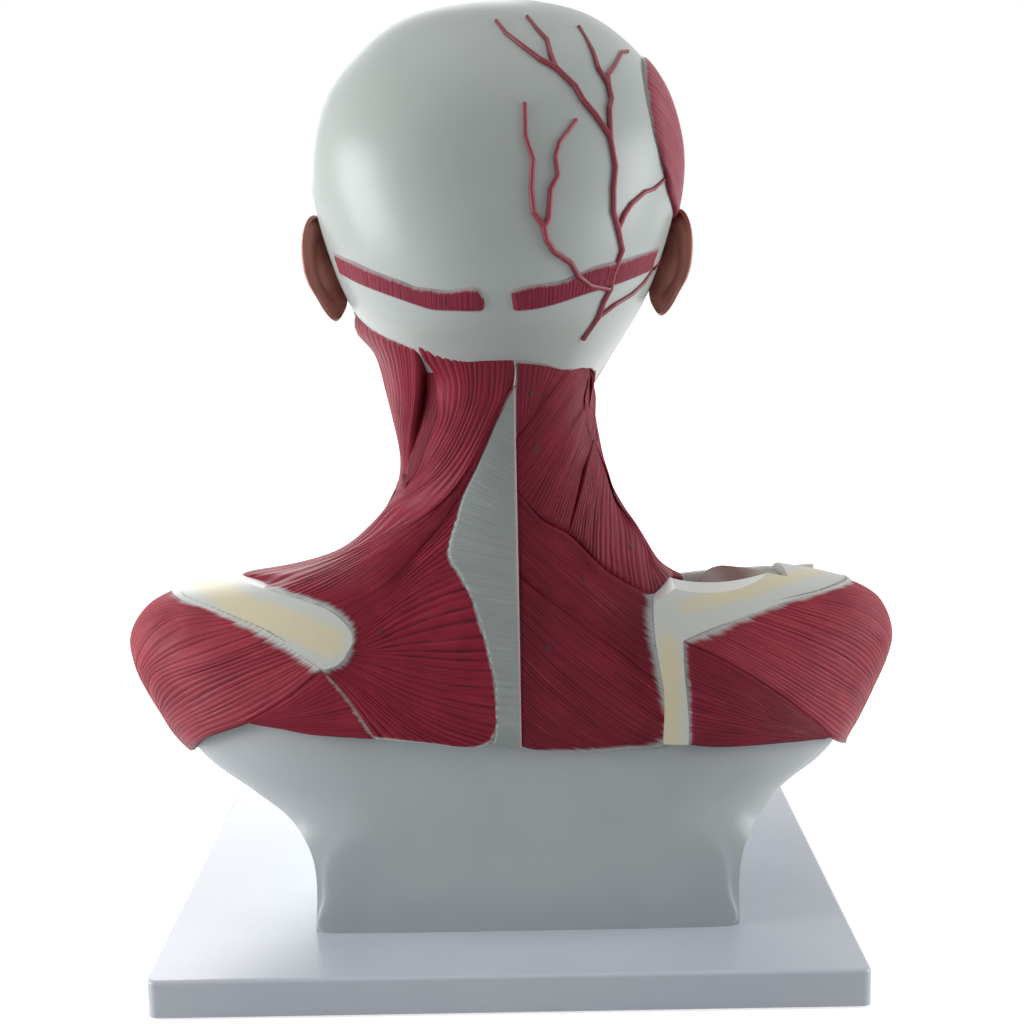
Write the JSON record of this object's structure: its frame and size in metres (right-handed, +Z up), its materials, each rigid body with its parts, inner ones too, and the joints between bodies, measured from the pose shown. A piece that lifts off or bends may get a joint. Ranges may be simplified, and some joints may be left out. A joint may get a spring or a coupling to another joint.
{
  "type": "anatomical neck muscle model",
  "caption": "Life-size demonstration bust of the neck muscles on a board, with superficial muscles on the left and deep muscles on the right.",
  "frame": {"origin": "under the middle of the whole model's box, on the plane that its feet stand on", "axes": "+Z up; the face looks along -Y and the back of the neck along +Y; the model's own left is +X"},
  "size_m": [0.3534, 0.24, 0.4224],
  "materials": {
    "board_plastic": "satin white moulded board",
    "foot_rubber": "matte black",
    "screw_steel": "zinc plated",
    "block_wood": "sawn, unvarnished",
    "body_plastic": "satin, painted grey white",
    "head_plastic": "satin, painted grey white",
    "skin_plastic": "satin, painted brown flesh",
    "bone_plastic": "satin, painted cream",
    "tendon_plastic": "satin, painted grey white with fine fibres",
    "cartilage_plastic": "satin, painted pale blue",
    "gland_plastic": "satin, painted red brown",
    "artery_plastic": "painted dark red",
    "vein_plastic": "painted dark blue",
    "surface_muscle": "satin, painted crimson with pale fibres",
    "deep_muscle": "satin, painted dark crimson with pale fibres"
  },
  "bodies": {
    "root": {"base_board": "board_plastic", "base_feet": "foot_rubber", "base_screws": "screw_steel", "base_washers": "screw_steel", "mounting_block": "block_wood", "bust_body": "body_plastic", "clavicle_left": "bone_plastic", "clavicle_right": "bone_plastic", "scapular_spine_left": "bone_plastic", "trapezius_left": "surface_muscle", "trapezius_aponeurosis": "tendon_plastic", "sternocleidomastoid_left": "surface_muscle", "splenius_left": "surface_muscle", "scalene_left": "surface_muscle", "deltoid_left": "surface_muscle", "infraspinatus_left": "surface_muscle", "scapula_right": "bone_plastic", "supraspinatus_right": "deep_muscle", "deltoid_right": "surface_muscle", "infraspinatus_right": "surface_muscle", "rhomboid_minor_right": "deep_muscle", "rhomboid_major_right": "deep_muscle", "semispinalis_right": "deep_muscle", "splenius_right": "deep_muscle", "levator_scapulae_right": "deep_muscle", "scalene_right": "deep_muscle", "pectoralis_left": "surface_muscle", "pectoralis_right": "surface_muscle", "manubrium": "bone_plastic", "trachea": "cartilage_plastic", "larynx": "cartilage_plastic", "hyoid": "bone_plastic", "thyroid_gland": "gland_plastic", "carotid_artery_right": "artery_plastic", "jugular_vein_right": "vein_plastic", "cranium": "head_plastic", "face_mask": "skin_plastic", "ear_left": "skin_plastic", "ear_right": "skin_plastic", "occipital_belly_left": "surface_muscle", "occipital_belly_right": "surface_muscle", "temporalis_right": "surface_muscle", "occipital_artery": "artery_plastic"}
  },
  "joints": []
}
